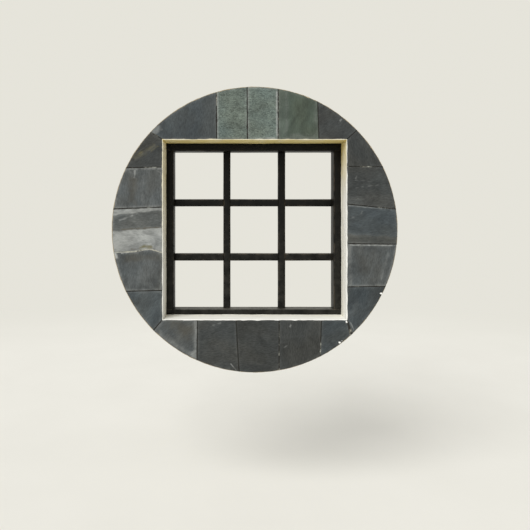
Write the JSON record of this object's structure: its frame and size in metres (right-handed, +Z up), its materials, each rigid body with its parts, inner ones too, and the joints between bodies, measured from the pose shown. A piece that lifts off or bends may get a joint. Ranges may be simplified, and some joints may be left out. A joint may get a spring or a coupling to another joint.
{
  "type": "round window",
  "caption": "Unglazed garden window: a round surround of cut slates on a mortar bed, a square plastered opening and a recessed black timber frame with a lattice.",
  "frame": {"origin": "centre of the round surround, on the face of the masonry that it is bedded on", "axes": "+X to the right seen from the front, +Y into the wall, +Z up"},
  "size_m": [1.4278, 0.237, 1.428],
  "materials": {
    "slate_charcoal": "matte",
    "slate_blue": "matte",
    "slate_green": "matte",
    "slate_grey": "matte",
    "slate_pale": "matte",
    "mortar": "matte",
    "plaster": "matte",
    "black_timber": "satin",
    "zinc_steel": "satin"
  },
  "bodies": {
    "root": {"slate_top_1": "slate_charcoal", "slate_top_2": "slate_green", "slate_top_3": "slate_green", "slate_top_4": "slate_green", "slate_top_5": "slate_charcoal", "slate_right_1": "slate_charcoal", "slate_right_2": "slate_charcoal", "slate_right_3": "slate_blue", "slate_right_4": "slate_grey", "slate_right_5": "slate_blue", "slate_bottom_1": "slate_grey", "slate_bottom_2": "slate_charcoal", "slate_bottom_3": "slate_charcoal", "slate_bottom_4": "slate_charcoal", "slate_bottom_5": "slate_blue", "slate_left_1": "slate_charcoal", "slate_left_2": "slate_grey", "slate_left_3": "slate_pale", "slate_left_4": "slate_grey", "slate_left_5": "slate_blue", "mortar_bed": "mortar", "plaster_reveal": "plaster", "frame_head": "black_timber", "frame_sill": "black_timber", "frame_stile_left": "black_timber", "frame_stile_right": "black_timber", "frame_pegs": "black_timber", "lattice_upright_left": "black_timber", "lattice_upright_right": "black_timber", "lattice_crossbar_lower": "black_timber", "lattice_crossbar_upper": "black_timber", "fixing_screws": "zinc_steel", "fixing_pellets": "black_timber"}
  },
  "joints": []
}
